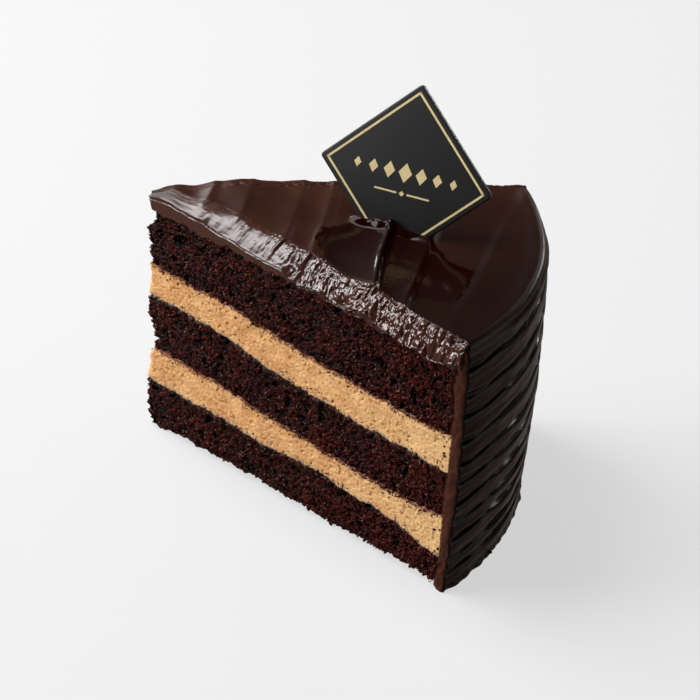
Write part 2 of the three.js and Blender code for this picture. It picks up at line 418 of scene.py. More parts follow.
def ganache_top(finish):
    """The coat's top, from the tip to the rounded rim, down to the top sponge."""
    bm, places, (_, wet, smear) = spun_sheet(*SLAB_GRID)
    for vert, (u, w, v) in places.items():
        turn = w - 0.4 * math.sin(2 * math.pi * w) / (2 * math.pi)
        angle = HALF_ANGLE * (2 * turn - 1)
        rim = CORE_RADIUS + SLAB_OVERHANG
        rim += (SLAB_RIM - CORE_RADIUS - SLAB_OVERHANG) * smoothstep(0.1, 0.9, v)
        out = 1 - (1 - u) ** 1.12
        distance = SLAB_START + out * (reach(angle, rim) - SLAB_START)
        x, y = distance * math.cos(angle), distance * math.sin(angle)
        to_rim = SLAB_RIM - from_axis(x, y)
        fillet = 1 - math.sqrt(max(0.0, 1 - (1 - min(max(to_rim / SLAB_FILLET, 0.0), 1.0)) ** 2))
        top = coat_top(x, y) - SLAB_FILLET * fillet - shoulder_drop(x, y)
        base = min(seam("sponge_top", x, y) - 0.3, top - 0.5)
        spot = Vector((x, y, base + v * (top - base)))
        side = cut_at(w)
        if side:
            spot += (0.25 * grain(*spot, 3, 4) + 0.1 * grain(*spot, 0.9, 4)) * cut_normal(side)
            vert[smear] = 1.0
        vert.co = pull_tip(spot)
        vert[wet] = wetness(x, y)
    return make_piece(bm, "ganache_top", finish)


SMEAR_ROWS = 56
SMEAR_START = 1.2
SLOPE_SHARE = 0.62
SMEAR_THICK = 0.8


def smear_section(along, c, side):
    """A point on the knife's smear: c runs from its edge on the top, over the slope and a crease,
    to the sponge. Gives its place out from the cut, its height, and the stage it has reached."""
    width, depth = shoulder(side, along)
    full = 1 if side == NEAR else 0.3
    width += (0.8 * grain(along, side, 0, 4, 5)
              + 0.85 * grain(along, side, 0, 1.3, 5) * smoothstep(10, 30, along))
    frayed = 1.3 * max(0.0, grain(along, side, 1, 0.9, 6)) * smoothstep(24, 42, along)
    width = max(width + frayed, 0.5)
    depth += 0.3 * grain(along, side, 2, 4, 5)
    foot = along * cut_direction(side)
    ragged = 0.9 * grain(along, side, 3, 3, 5) + 0.5 * grain(along, side, 3, 1.1, 5)
    low = seam("sponge_top", foot.x, foot.y) - 0.4 + ragged
    crease = max(coat_top(foot.x, foot.y) + 0.7 - depth, low + 0.5)
    inner = foot - width * cut_normal(side)
    corner = 1.5 * smoothstep(72, 96, along) * full
    if c < SLOPE_SHARE:
        t = c / SLOPE_SHARE
        top = coat_top(inner.x, inner.y) + 0.1
        crown = 0.55 * math.sin(math.pi * t) * smoothstep(6, 30, along) * full
        return (0.5 + corner) * t - width * (1 - t), top + (crease - top) * t ** 1.2 + crown, t
    t = (c - SLOPE_SHARE) / (1 - SLOPE_SHARE)
    lip = 0.5 * math.exp(-((t - 0.06) / 0.08) ** 2) + 0.4 * math.exp(-((t - 0.3) / 0.08) ** 2)
    out = 0.3 + corner * (1 - 0.6 * t) + lip + 0.15 * math.sin(math.pi * t)
    return out, crease + (low - crease) * t, 1 + t


def smear_relief(along, c, side, stage):
    """Drags along the cut, breaking into glossy lumps further out."""
    across = 10 * c
    spot = Vector((along, across, side * 9))
    drags = 0.1 * grain(along / 6, across, side, 1.1, 1) + 0.05 * grain(along / 3, across, side, 0.6, 2)
    wrinkle = 0.2 * (1 - 0.6 * smoothstep(30, 46, along)) * grain(along, across / 2.5, side, 1.8, 3)
    wrinkle += 0.05 * grain(along, across / 2, side, 0.8, 3)
    wrinkle -= 0.16 * smoothstep(0.3, 0.6, grain(along, across / 4, side, 2.6, 6))
    torn = spot + 0.9 * noise.noise_vector(spot / 1.9)
    pits = smoothstep(0.25, 0.55, grain(*torn, 1.5, 7))
    lumps = (0.36 + 0.24 * smoothstep(60, 80, along)) * (cells(torn, 3.4, 4) - 0.5)
    lumps += 0.2 * (cells(torn, 1.2, 2) - 0.5) + 0.16 * grain(*spot, 0.8, 5) - 0.6 * pits
    broken = smoothstep(26, 62, along) if stage < 1 else smoothstep(48, 60, along)
    smooth = drags + wrinkle * smoothstep(12, 34, along) if stage < 1 else 0.8 * drags
    return smooth * (1 - 0.5 * broken) + lumps * broken


def ganache_smear(side, finish):
    """The strip that the knife dragged down along the top of a cut, as a thin shell."""
    end = reach(side * HALF_ANGLE, SLAB_RIM - 0.8)
    bm, places, (_, wet, smear) = spun_sheet(round(end / PITCH), SMEAR_ROWS, 1)
    along_way, out_way = cut_direction(side), cut_normal(side)
    for vert, (u, w, c) in places.items():
        along = SMEAR_START + u * (end - SMEAR_START)
        out, height, stage = smear_section(along, c, side)
        fade = min(smoothstep(0, 0.06, c), smoothstep(1, 0.94, c))
        rise = fade * smear_relief(along, c, side, stage)
        tilt = 0.7 - 0.4 * smoothstep(55, 75, along) if stage < 1 else 0.1
        spot = along * along_way + (out + rise * (1 - tilt)) * out_way
        spot.z = height + rise * tilt
        if w > 0.5:
            spot -= SMEAR_THICK * (0.75 * out_way + Vector((0, 0, 0.65 if stage < 1 else 0)))
        vert.co = pull_tip(spot)
        pale = 0.5 * smoothstep(2, 14, along) + 0.25 * smoothstep(55, 75, along)
        wiped = smoothstep(62, 46, along) * smoothstep(1.0, 1.15, stage)
        vert[smear] = pale if stage < 1 else max(pale, wiped)
        slick = -0.6 + 0.85 * smoothstep(5, 18, along) + 0.5 * smoothstep(36, 68, along)
        vert[wet] = slick if stage < 1 else 0.35 + 0.35 * smoothstep(44, 58, along)
    name = "ganache_smear_near" if side == NEAR else "ganache_smear_far"
    return make_piece(bm, name, finish)


# Comb grooves round the side: the height of each, and how deep it is cut.
GROOVES = ((5.5, 1.1), (10, 0.9), (16, 1.4), (21.5, 1.1), (27.5, 1.5), (34, 1.3), (40, 1.5), (47, 1.3),
           (55, 1.5), (61, 1.1), (69, 1.3))
GROOVE_REACH = 3
# Steps out through the coat, up, and from the near cut to the far one.
WALL_GRID = (10, 236, 120)
WALL_TOP = 74.8
WALL_INSIDE = CORE_RADIUS + 0.1
# The angle at the cake's axis that the side spans, in radians, for lengths along it.
SIDE_SPAN = 0.984


def comb_depth(arc, z):
    """How far the comb's grooves cut in at a place on the side, `arc` mm round from the near cut."""
    level = z + 1.4 * grain(arc, 0, z / 2, 26, 1) + 0.45 * grain(arc, 0, z, 9, 1)
    depth = 0.0
    for number, (height, deep) in enumerate(GROOVES):
        above = level - height
        if abs(above) > GROOVE_REACH:
            continue
        wide = 0.68 + 0.3 * grain(arc, number, 0, 14, 2)
        shape = math.exp(-(above / (wide if above < 0 else 1.6 * wide)) ** 2)
        depth = max(depth, deep * (1.3 + 1.3 * grain(arc, number, 1, 11, 3)) * shape)
    return depth * (0.1 + 0.9 * smoothstep(0, 1.6, arc))


def wall_radius(arc, z):
    """How far the coated side stands from the cake's axis."""
    belly = BELLY * math.sin(math.pi * z / TOP)
    streaks = 0.17 * grain(arc / 8, 0, z, 2.1, 4) + 0.08 * grain(arc / 6, 0, z, 0.8, 5)
    lumps = 0.2 * grain(arc, 0, z, 8, 6)
    rim = 1.2 * smoothstep(WALL_TOP - 2.5, WALL_TOP, z)
    foot = 0.8 * smoothstep(2.2, 0, z) * (0.5 + grain(arc, 0, 0, 4, 7))
    return CAKE_RADIUS + 0.3 + belly + streaks + lumps - comb_depth(arc, z) - rim + foot


def around(radius, w):
    """A place on a circle round the cake, from the near cut at w = 0 to the far cut at w = 1."""
    ends = []
    for side in (NEAR, FAR):
        spot = reach(side * HALF_ANGLE, radius) * cut_direction(side) - AXIS
        ends.append(math.atan2(spot.y, spot.x))
    angle = ends[0] + w * (ends[1] - ends[0])
    return AXIS + radius * Vector((math.cos(angle), math.sin(angle), 0))


def ganache_side(finish):
    """The coat round the side, from the sponge out to the combed face, with its two cut edges."""
    arc_length = CAKE_RADIUS * SIDE_SPAN
    bm, places, (depth_shade_and_soak, wet, smear) = spun_sheet(*WALL_GRID)
    for vert, (u, w, v) in places.items():
        arc = w * arc_length
        z = v * WALL_TOP
        outer = wall_radius(arc, z)
        side = cut_at(w)
        inmost = WALL_INSIDE
        if side:
            inmost += (0.7 * smoothstep(64, 50, z) + 0.9 * grain(0, side, z, 3.5, 8)
                       + 0.5 * grain(0, side, z, 1.1, 8))
        radius = inmost + u * (outer - inmost)
        spot = around(radius, w) + Vector((0, 0, z))
        if side:
            proud = 0.45 + 0.7 * grain(radius, side, z, 4, 3) + 0.35 * grain(radius, side, z, 1.2, 3)
            proud += 0.25 * grain(radius, side, z / 3, 0.9, 5)
            edges = smoothstep(0, 0.45, u) - 0.8 * smoothstep(0.72, 1.0, u)
            spot += (proud * edges - 0.35 * (1 - smoothstep(0, 0.3, u))) * cut_normal(side)
            vert[smear] = 1.0 - smoothstep(0.8, 1.0, u)
        vert.co = spot
        vert[wet] = 0.35 if not side and u > 0.99 else 0.0
        # Groove depth on the combed face, which the coat's material turns into painted shade in the grooves.
        vert[depth_shade_and_soak] = comb_depth(arc, z) if u > 0.9 else 0.0
    return make_piece(bm, "ganache_side", finish, "ganache_coat")


# ---- Crumbs, specks and flakes ----

CRUMB_SHAPES = 6
FLAKE_SHAPES = 4
CRUMBS = {"sponge_bottom": 4200, "sponge_middle": 4400, "sponge_top": 5600}
COAT_CRUMBS = 900
SPECKS = 1500


def crumb_shapes(count, detail, rough, seed):
    """A few broken lumps, as corner points and faces, for scattering."""
    shapes = []
    for number in range(count):
        bm = bmesh.new()
        bmesh.ops.create_icosphere(bm, subdivisions=detail, radius=1)
        for vert in bm.verts:
            vert.co *= 1 + rough * grain(*vert.co, 0.8, seed + number)
        bmesh.ops.scale(bm, verts=bm.verts, vec=(1, 0.8, 0.65))
        shapes.append(([v.co.copy() for v in bm.verts], [[v.index for v in f.verts] for f in bm.faces]))
        bm.free()
    return shapes


def joined(name, shapes, places, finish, smooth=True):
    """One piece of many small shapes, each set down by its own matrix."""
    corners, faces = [], []
    for number, place in places:
        points, sides = shapes[number]
        start = len(corners)
        corners.extend(place @ point for point in points)
        faces.extend([start + i for i in side] for side in sides)
    mesh = bpy.data.meshes.new(name)
    mesh.from_pydata(corners, [], faces)
    return finish_mesh(mesh, name, finish, smooth=smooth)


FULL_TURN = 6.28


def tumbled(draw, spot, size):
    """A matrix that sets a shape down at a spot, turned any way."""
    tip = Matrix.Rotation(draw.uniform(0, FULL_TURN), 4, "X")
    turn = Matrix.Rotation(draw.uniform(0, FULL_TURN), 4, "Z")
    return Matrix.Translation(spot) @ (tip @ turn) @ Matrix.Diagonal((size, size, size, 1))


def on_cut(side, along, z, lift):
    """A place on a cut, lifted off it."""
    return along * cut_direction(side) + lift * cut_normal(side) + Vector((0, 0, z))


TOO_DEEP = -1.2


def crumbs_on_sponge(name, below, count, finish):
    """Loose grains that cling to both cuts of one sponge."""
    draw = random.Random(len(name) * 11 + count)
    places = []
    for _ in range(count):
        side = draw.choice((NEAR, FAR))
        along = 1.5 + draw.random() ** 0.7 * (reach(side * HALF_ANGLE, CORE_RADIUS) - 2)
        foot = on_cut(side, along, 0, 0)
        base, top = layer_heights(name, below, foot.x, foot.y)
        if not below:
            base = ragged_foot(foot.x, foot.y)
        z = draw.uniform(base + 0.2, top - 0.3)
        size = 0.2 + 0.45 * draw.random() ** 2.2
        spot = on_cut(side, along, z, 0)
        lift = sponge_relief(spot) + SPONGE_PROUD
        if lift < TOO_DEEP:
            continue
        lift = lift - 1.1 * smoothstep(5, 0, z) + 0.3 * size
        spot = pull_tip(on_cut(side, along, max(z, 1.4 * size), lift))
        places.append((draw.randrange(CRUMB_SHAPES), tumbled(draw, spot, size)))
    shapes = crumb_shapes(CRUMB_SHAPES, 1, 0.5, 3)
    return joined("crumbs_" + name, shapes, places, finish, smooth=False)


CREAM_AT_COAT = ((10, 23), (36, 48))


def crumbs_along_coat(finish):
    """Grains caught where the sponge meets the cut edge of the side coat."""
    draw = random.Random(5)
    places = []
    for _ in range(COAT_CRUMBS):
        side = draw.choice((NEAR, FAR))
        z = draw.uniform(1.0, 70)
        on_cream = any(low < z < high for low, high in CREAM_AT_COAT)
        if on_cream and draw.random() < 0.85:
            continue
        stray = draw.triangular(-1.0, 1.2, 0) if draw.random() < 0.85 else draw.uniform(0.5, 3.2)
        along = reach(side * HALF_ANGLE, CORE_RADIUS + 0.9 * grain(0, side, z, 3.5, 8)) + stray
        size = 0.15 + 0.4 * draw.random() ** 2
        spot = on_cut(side, along, z, 0.1 + 0.4 * size)
        places.append((draw.randrange(CRUMB_SHAPES), tumbled(draw, spot, size)))
    shapes = crumb_shapes(CRUMB_SHAPES, 1, 0.5, 4)
    return joined("crumbs_along_coat", shapes, places, finish, smooth=False)


def crumbs_on_cream(finish):
    """Dark specks that the knife carried over the cream, thickest along its edges."""
    draw = random.Random(8)
    places = []
    for name in CREAM_PROUD:
        for _ in range(SPECKS):
            side = draw.choice((NEAR, FAR))
            along = 1 + draw.random() ** 0.7 * (reach(side * HALF_ANGLE, CORE_RADIUS) - 1.5)
            foot = on_cut(side, along, 0, 0)
            base, top = layer_heights(name, LAYERS[name], foot.x, foot.y)
            edge = draw.random() ** 3 * 0.25
            stray = draw.random() < 0.12
            part = draw.random() if stray else draw.choice((edge, 1 - edge, 1 - edge))
            z = base + part * (top - base)
            size = 0.06 + 0.08 * draw.random() if stray else 0.1 + 0.3 * draw.random() ** 2.5
            spot = on_cut(side, along, z, 0)
            lift = cream_relief(spot) + CREAM_PROUD[name] + 0.1 * size
            spot = pull_tip(on_cut(side, along, z, lift))
            places.append((draw.randrange(CRUMB_SHAPES), tumbled(draw, spot, size)))
    shapes = crumb_shapes(CRUMB_SHAPES, 1, 0.5, 9)
    return joined("specks_on_cream", shapes, places, finish, smooth=False)


# Where the flakes lie, as shares of the way round from the near cut.
FLAKES = (0.05, 0.24, 0.33, 0.6, 0.88)


def flakes_at_foot(finish):
    """Torn bits of coat where the side meets the board."""
    draw = random.Random(21)
    places = []
    for w in FLAKES:
        size = draw.uniform(0.6, 1.0)
        spot = around(CAKE_RADIUS + draw.uniform(-0.5, 0.2), w) + Vector((0, 0, 0.65 * size))
        turn = Matrix.Rotation(draw.uniform(0, FULL_TURN), 4, "Z")
        wide = Matrix.Diagonal((size * 1.2, size, size, 1))
        places.append((draw.randrange(FLAKE_SHAPES), Matrix.Translation(spot) @ turn @ wide))
    return joined("coat_flakes", crumb_shapes(FLAKE_SHAPES, 3, 0.14, 14), places, finish)


# ---- Plaque ----

PLAQUE_SIDE = 35.9
PLAQUE_THICK = 1.8
PLAQUE_LEAN = math.radians(15.7)
PLAQUE_TURN = math.radians(-7)
LINE_INSET = 1.75
LINE_WIDTH = 0.62
PRINT_RISE = 0.03
# The lozenges' heights, from the middle one outward.
LOZENGES = (3.9, 3.3, 2.7, 2.1)
LOZENGE_STEP = 4.7
LOZENGE_LEVEL = 0.6
LOZENGE_SLIM = 0.72
RULE_LEVEL = -5.2


def stand_plaque():
    """The plaque's place: on its corner, leaning back, centred where the CAD part is."""
    low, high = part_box("plaque")
    spot = SET_DOWN.inverted() @ ((low + high) / 2)
    return (Matrix.Translation(spot) @ Matrix.Rotation(PLAQUE_TURN, 4, "Z")
            @ Matrix.Rotation(math.pi / 2 - PLAQUE_LEAN, 4, "X") @ Matrix.Rotation(math.pi / 4, 4, "Z"))


def plaque_body(finish):
    """The thin tile, with rounded corners and a fine bevel round both faces."""
    bm = bmesh.new()
    block = Matrix.Diagonal((PLAQUE_SIDE, PLAQUE_SIDE, PLAQUE_THICK, 1))
    bmesh.ops.create_cube(bm, size=1, matrix=block)
    upright = [e for e in bm.edges if abs(e.verts[0].co.z - e.verts[1].co.z) > 1]
    bmesh.ops.bevel(bm, geom=upright, offset=1.0, segments=5, profile=0.5, affect="EDGES", material=-1)
    rims = [e for e in bm.edges if abs(e.verts[0].co.z - e.verts[1].co.z) < 1e-4
            and len({round(f.normal.z) for f in e.link_faces}) > 1]
    bmesh.ops.bevel(bm, geom=rims, offset=0.4, segments=4, profile=0.5, affect="EDGES", material=-1)
    bmesh.ops.transform(bm, matrix=stand_plaque(), verts=bm.verts)
    return make_piece(bm, "plaque_body", finish, "plaque")


def bar(bm, length, width, place):
    """A flat printed bar, half sunk in the face."""
    bmesh.ops.create_cube(bm, size=1, matrix=place @ Matrix.Diagonal((length, width, 2 * PRINT_RISE, 1)))


def plaque_print(finish):
    """A plain border line round a row of lozenges over a short rule, a hair proud of the face."""
    bm = bmesh.new()
    half = PLAQUE_SIDE / 2 - LINE_INSET
    front = PLAQUE_THICK / 2
    for number in range(4):
        turn = Matrix.Rotation(number * math.pi / 2, 4, "Z")
        bar(bm, 2 * half + LINE_WIDTH, LINE_WIDTH, turn @ Matrix.Translation((0, half, front)))
    level = Matrix.Rotation(-math.pi / 4, 4, "Z")
    on_corner = Matrix.Rotation(math.pi / 4, 4, "Z")
    for number, tall in enumerate(LOZENGES):
        for sign in ((-1, 1) if number else (1,)):
            place = level @ Matrix.Translation((sign * number * LOZENGE_STEP, LOZENGE_LEVEL, front))
            bar(bm, 1, 1, place @ Matrix.Diagonal((tall * LOZENGE_SLIM, tall, 1, 1)) @ on_corner)
    for sign in (-1, 1):
        bar(bm, 6.6, 0.5, level @ Matrix.Translation((sign * 4.8, RULE_LEVEL, front)))
    bar(bm, 1.1, 1.1, level @ Matrix.Translation((0, RULE_LEVEL, front)) @ on_corner)
    bmesh.ops.transform(bm, matrix=stand_plaque(), verts=bm.verts)
    return make_piece(bm, "plaque_print", finish, smooth=False)


# ---- Materials ----

# A colour Mix node's sockets: the share of the second colour, the two colours, and the result.
SHARE, FIRST, SECOND, BLEND = 0, 6, 7, 2


def colour(code):
    """An sRGB hex colour as linear red, green, blue and alpha."""
    parts = (int(code[i:i + 2], 16) / 255 for i in (0, 2, 4))
    return (*(c / 12.92 if c <= 0.04045 else ((c + 0.055) / 1.055) ** 2.4 for c in parts), 1.0)


def add_node(tree, kind, settings=(), links=()):
    """Adds a node. A setting names a socket or a property; a link joins a socket to another
    node's output, given as (node, output)."""
    made = tree.nodes.new("ShaderNode" + kind)
    for key, value in dict(settings).items():
        if isinstance(key, int) or key in made.inputs:
            made.inputs[key].default_value = value
        else:
            setattr(made, key, value)
    for key, (source, output) in dict(links).items():
        tree.links.new(source.outputs[output], made.inputs[key])
    return made


def new_material(name, settings):
    """A material with its shader, and the link that gives a pattern the slice's own coordinates in
    millimetres, so that its Scale is one over the size of its lumps."""
    material = bpy.data.materials.new(name)
    material.use_nodes = True
    tree = material.node_tree
    shader = tree.nodes["Principled BSDF"]
    for key, value in settings.items():
        shader.inputs[key].default_value = value
    metres = add_node(tree, "TexCoord")
    place = add_node(tree, "Mapping", {"Scale": (1 / MM, 1 / MM, 1 / MM)}, {"Vector": (metres, "Object")})
    return material, tree, shader, {"Vector": (place, "Vector")}


def join_shader(tree, shader, sources):
    for key, (source, output) in sources.items():
        tree.links.new(source.outputs[output], shader.inputs[key])


def chocolate_sponge():
    """Baked cocoa sponge, torn by the knife: moist dark grains with small painted glints, and painted
    shade near black down in the holes."""
    material, tree, shader, place = new_material(
        "chocolate_sponge", {"IOR": 1.45, "Specular IOR Level": 0.16})
    relief = add_node(tree, "Attribute", {"attribute_name": "depth_shade_and_soak"})
    fringe = add_node(tree, "Attribute", {"attribute_name": "smear"})
    parts = add_node(tree, "SeparateXYZ", (), place)
    speckle = add_node(tree, "TexNoise", {"Scale": 1 / 0.7, "Detail": 4, "Roughness": 0.55}, place)
    patch = add_node(tree, "TexNoise", {"Scale": 1 / 16, "Detail": 2, "Roughness": 0.55}, place)
    sparkle = add_node(tree, "TexNoise", {"Scale": 1 / 0.42, "Detail": 2, "Roughness": 0.55}, place)
    damp = add_node(tree, "TexNoise", {"Scale": 1 / 1.1, "Detail": 2, "Roughness": 0.55}, place)
    crumb = add_node(tree, "TexNoise", {"Scale": 1 / 0.5, "Detail": 4, "Roughness": 0.55}, place)
    # Cocoa grains, dark and rust brown, with redder patches that spread towards the rim.
    grains = add_node(tree, "MapRange", {"From Min": 0.42, "From Max": 0.7}, {"Value": (speckle, "Fac")})
    dark = add_node(tree, "Mix", {"data_type": "RGBA", FIRST: colour("130101"), SECOND: colour("7c2a1b")},
                    {SHARE: (grains, "Result")})
    rimward = add_node(tree, "MapRange", {"From Min": -15, "From Max": 40, "To Max": 0.22},
                       {"Value": (parts, "X")})
    warm = add_node(tree, "Math", {"operation": "ADD"}, {0: (patch, "Fac"), 1: (rimward, "Result")})
    redder = add_node(tree, "MapRange", {"From Min": 0.48, "From Max": 0.68, "To Max": 0.6},
                      {"Value": (warm, "Value")})
    red = add_node(tree, "Mix", {"data_type": "RGBA", SECOND: colour("601407")},
                   {SHARE: (redder, "Result"), FIRST: (dark, BLEND)})
    # Painted shade keeps the holes near black, and small painted glints stand in for wet crumbs catching the
    # light.
    raised = add_node(tree, "MapRange", {"From Min": -0.4, "From Max": 0.35}, {"Value": (relief, "Fac")})
    deep = add_node(tree, "Mix", {"data_type": "RGBA", FIRST: colour("030000")},
                    {SHARE: (raised, "Result"), SECOND: (red, BLEND)})
    painted_glint = add_node(tree, "MapRange", {"From Min": 0.64, "From Max": 0.71, "To Max": 0.85},
                     {"Value": (sparkle, "Fac")})
    bright = add_node(tree, "Mix", {"data_type": "RGBA", SECOND: colour("dba896")},
                      {SHARE: (painted_glint, "Result"), FIRST: (deep, BLEND)})
    # A grey dust of cream along the top of a layer.
    dust = add_node(tree, "MapRange", {"To Max": 0.75}, {"Value": (fringe, "Fac")})
    dusty = add_node(tree, "Mix", {"data_type": "RGBA", SECOND: colour("8d786c")},
                     {SHARE: (dust, "Result"), FIRST: (bright, BLEND)})
    moist = add_node(tree, "MapRange", {"From Min": 0.35, "From Max": 0.6, "To Min": 0.16, "To Max": 0.45},
                     {"Value": (damp, "Fac")})
    bump = add_node(tree, "Bump", {"Distance": 0.8 * MM, "Strength": 1}, {"Height": (crumb, "Fac")})
    join_shader(tree, shader, {"Base Color": (dusty, BLEND), "Roughness": (moist, "Result"),
                               "Normal": (bump, "Normal")})
    return material


def coffee_cream():
    """Whipped cream filling with coffee: a soft satin with curds and tiny pits painted dark as their
    shade, browner along the upper edge where sponge soaked into it and grey with crumb along the lower."""
    material, tree, shader, place = new_material(
        "coffee_cream", {"Roughness": 0.55, "IOR": 1.45, "Subsurface Weight": 0.1,
                         "Subsurface Scale": 2 * MM, "Subsurface Radius": (1.0, 0.6, 0.35)})
    from_top = add_node(tree, "Attribute", {"attribute_name": "depth_shade_and_soak"})
    from_base = add_node(tree, "Attribute", {"attribute_name": "smear"})
    parts = add_node(tree, "SeparateXYZ", (), place)
    cloud = add_node(tree, "TexNoise", {"Scale": 1 / 5, "Detail": 3, "Roughness": 0.55}, place)
    curd = add_node(tree, "TexNoise", {"Scale": 1 / 0.8, "Detail": 5, "Roughness": 0.55}, place)
    # Two browns in clouds, pale curds, and paler again towards the rim.
    clouds = add_node(tree, "MapRange", {"From Min": 0.35, "From Max": 0.65}, {"Value": (cloud, "Fac")})
    base = add_node(tree, "Mix", {"data_type": "RGBA", FIRST: colour("c3864c"), SECOND: colour("dba66b")},
                    {SHARE: (clouds, "Result")})
    curds = add_node(tree, "MapRange", {"From Min": 0.5, "From Max": 0.78, "To Max": 0.75},
                     {"Value": (curd, "Fac")})
    light = add_node(tree, "Mix", {"data_type": "RGBA", SECOND: colour("f0c992")},
                     {SHARE: (curds, "Result"), FIRST: (base, BLEND)})
    rimward = add_node(tree, "MapRange", {"From Min": 0, "From Max": 45, "To Max": 0.4},
                       {"Value": (parts, "X")})
    paler = add_node(tree, "Mix", {"data_type": "RGBA", SECOND: colour("f4cf92")},
                     {SHARE: (rimward, "Result"), FIRST: (light, BLEND)})
    # Painted shade in small pits, then the soaked upper edge and the crumb along the lower, both with a
    # wandering border.
    unpitted = add_node(tree, "MapRange", {"From Min": 0.27, "From Max": 0.38}, {"Value": (curd, "Fac")})
    pitted = add_node(tree, "Mix", {"data_type": "RGBA", FIRST: colour("8a5a33")},
                      {SHARE: (unpitted, "Result"), SECOND: (paler, BLEND)})
    wander = add_node(tree, "MapRange", {"From Min": 0.3, "From Max": 0.7, "To Min": -0.8, "To Max": 0.8},
                      {"Value": (curd, "Fac")})
    upper = add_node(tree, "Math", {"operation": "ADD"}, {0: (from_top, "Fac"), 1: (wander, "Result")})
    lower = add_node(tree, "Math", {"operation": "ADD"}, {0: (from_base, "Fac"), 1: (wander, "Result")})
    clear = add_node(tree, "MapRange", {"From Min": 0, "From Max": 0.9}, {"Value": (upper, "Value")})
    soaked = add_node(tree, "Mix", {"data_type": "RGBA", FIRST: colour("6b3018")},
                      {SHARE: (clear, "Result"), SECOND: (pitted, BLEND)})
    clean = add_node(tree, "MapRange", {"From Min": -0.1, "From Max": 0.8}, {"Value": (lower, "Value")})
    crumby = add_node(tree, "Mix", {"data_type": "RGBA", FIRST: colour("95806f")},
                      {SHARE: (clean, "Result"), SECOND: (soaked, BLEND)})
    bump = add_node(tree, "Bump", {"Distance": 0.45 * MM, "Strength": 1}, {"Height": (curd, "Fac")})
    join_shader(tree, shader, {"Base Color": (crumby, BLEND), "Normal": (bump, "Normal")})
    return material


def ganache(name, shine):
    """Set chocolate ganache: a smooth semi-gloss fat surface, wet and darker where it melted again,
    with painted shade near black down in the comb's grooves and a painted shade that deepens towards
    the rim and the near cut. Where the knife cut it, it is duller and a little lighter. `shine` is
    how strongly it mirrors."""
    material, tree, shader, place = new_material(name, {"IOR": 1.5, "Specular IOR Level": shine})
    wet = add_node(tree, "Attribute", {"attribute_name": "wet"})
    smear = add_node(tree, "Attribute", {"attribute_name": "smear"})
    groove = add_node(tree, "Attribute", {"attribute_name": "depth_shade_and_soak"})
    parts = add_node(tree, "SeparateXYZ", (), place)
    cloud = add_node(tree, "TexNoise", {"Scale": 1 / 14, "Detail": 3, "Roughness": 0.55}, place)
    amber = add_node(tree, "TexNoise", {"Scale": 1 / 2.2, "Detail": 5, "Roughness": 0.65}, place)
    skin = add_node(tree, "TexNoise", {"Scale": 1 / 1.3, "Detail": 3, "Roughness": 0.55}, place)
    # Dry coat in two browns in clouds, with painted shade that darkens it towards the rim and the near cut.
    clouds = add_node(tree, "MapRange", {"From Min": 0.35, "From Max": 0.65}, {"Value": (cloud, "Fac")})
    pale = add_node(tree, "Mix", {"data_type": "RGBA", FIRST: colour("2c1710"), SECOND: colour("371e15")},
                    {SHARE: (clouds, "Result")})
    nearer = add_node(tree, "Math", {"operation": "SUBTRACT"}, {0: (parts, "X"), 1: (parts, "Y")})
    darker = add_node(tree, "MapRange", {"From Min": -28, "From Max": 55, "To Max": 0.9},
                      {"Value": (nearer, "Value")})
    dry = add_node(tree, "Mix", {"data_type": "RGBA", SECOND: colour("120401")},
                   {SHARE: (darker, "Result"), FIRST: (pale, BLEND)})
    # Melted coat, with amber streaks.
    streaks = add_node(tree, "MapRange", {"From Min": 0.56, "From Max": 0.76}, {"Value": (amber, "Fac")})
    melted = add_node(tree, "Mix", {"data_type": "RGBA", FIRST: colour("140200"), SECOND: colour("190802")},
                      {SHARE: (streaks, "Result")})
    moist = add_node(tree, "Mix", {"data_type": "RGBA"},
                     {SHARE: (wet, "Fac"), FIRST: (dry, BLEND), SECOND: (melted, BLEND)})
    # Painted shade near black down in the comb's grooves, and the cut edge.
    deep = add_node(tree, "MapRange", {"From Min": 0.25, "From Max": 1, "To Max": 0.95},
                    {"Value": (groove, "Fac")})
    coat = add_node(tree, "Mix", {"data_type": "RGBA", SECOND: colour("050201")},
                    {SHARE: (deep, "Result"), FIRST: (moist, BLEND)})
    cut = add_node(tree, "Mix", {"data_type": "RGBA", SECOND: colour("41231a")},
                   {SHARE: (smear, "Fac"), FIRST: (coat, BLEND)})
    dull = add_node(tree, "MapRange", {"From Min": -1, "From Max": 1, "To Min": 0.57, "To Max": 0.07},
                    {"Value": (wet, "Fac")})
    least = add_node(tree, "MapRange", {"To Max": 0.17}, {"Value": (smear, "Fac")})
    rough = add_node(tree, "Math", {"operation": "MAXIMUM"}, {0: (dull, "Result"), 1: (least, "Result")})
    bump = add_node(tree, "Bump", {"Distance": 0.03 * MM, "Strength": 1}, {"Height": (skin, "Fac")})
    join_shader(tree, shader, {"Base Color": (cut, BLEND), "Roughness": (rough, "Value"),
                               "Normal": (bump, "Normal")})
    return material


def satin_black():
    """A thin tile of dark chocolate with a satin black print: smooth, with a soft even sheen."""
    material, tree, shader, place = new_material("satin_black", {"Roughness": 0.42, "IOR": 1.46})
    cloud = add_node(tree, "TexNoise", {"Scale": 1 / 6, "Detail": 2, "Roughness": 0.55}, place)
    skin = add_node(tree, "TexNoise", {"Scale": 1 / 0.6, "Detail": 2, "Roughness": 0.55}, place)
    face = add_node(tree, "Mix", {"data_type": "RGBA", FIRST: colour("181818"), SECOND: colour("212121")},
                    {SHARE: (cloud, "Fac")})
    bump = add_node(tree, "Bump", {"Distance": 0.01 * MM, "Strength": 1}, {"Height": (skin, "Fac")})
    join_shader(tree, shader, {"Base Color": (face, BLEND), "Normal": (bump, "Normal")})
    return material


